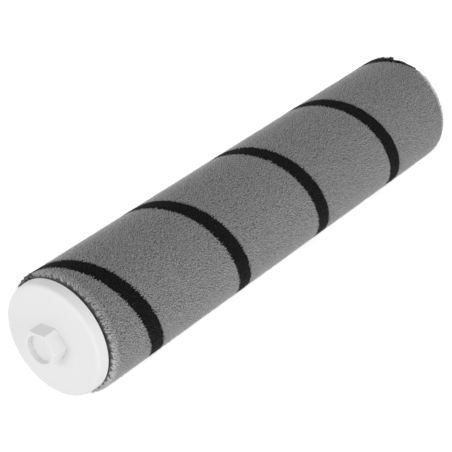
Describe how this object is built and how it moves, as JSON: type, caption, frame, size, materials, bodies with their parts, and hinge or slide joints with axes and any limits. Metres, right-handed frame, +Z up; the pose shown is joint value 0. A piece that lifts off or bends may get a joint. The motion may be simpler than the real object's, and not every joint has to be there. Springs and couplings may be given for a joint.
{
  "type": "soft roller brush",
  "caption": "Soft roller for a floor cleaner's head: a tube with short grey pile and a black stripe wound around it, turning on a white domed end cap with a hexagonal stub.",
  "frame": {"origin": "on the turning axis, halfway between the stub's end face and the pile's far end", "axes": "+Y along the turning axis from the end cap to the drive end, +Z up as the roller lies on its flat spot, +X to the side"},
  "size_m": [0.048, 0.2258, 0.0477],
  "materials": {
    "grey_fibre": "short dense grey pile, matt",
    "black_fibre": "short dense black pile, matt",
    "cap_plastic": "white moulded plastic, satin",
    "plug_plastic": "white moulded plastic, satin",
    "tube_plastic": "grey extruded plastic",
    "bearing_steel": "ground bearing steel",
    "ball_steel": "polished bearing steel",
    "cage_nylon": "natural nylon",
    "shield_steel": "pressed steel",
    "pin_steel": "turned steel",
    "clip_steel": "blackened spring steel"
  },
  "bodies": {
    "roller": {"core_tube": "tube_plastic", "grey_pile": "grey_fibre", "black_stripe": "black_fibre", "bearing_plug": "plug_plastic", "bearing_outer_ring": "bearing_steel", "bearing_shields": "shield_steel", "drive_plug": "plug_plastic"},
    "stub": {"end_cap": "cap_plastic", "axle_pin": "pin_steel", "axle_washer": "shield_steel", "axle_clip": "clip_steel", "bearing_inner_ring": "bearing_steel"},
    "ball_train": {"bearing_balls": "ball_steel", "bearing_cage": "cage_nylon"}
  },
  "joints": [
    {"name": "stub_spin", "type": "hinge", "parent": "roller", "child": "stub", "pos_m": [0, -0.09675, 0], "axis": [0, 1, 0], "continuous": true},
    {"name": "ball_train_spin", "type": "hinge", "parent": "roller", "child": "ball_train", "pos_m": [0, -0.09675, 0], "axis": [0, 1, 0], "continuous": true}
  ],
  "couplings": [
    {"joint": "ball_train_spin", "follows": "stub_spin", "ratio": 0.36}
  ]
}
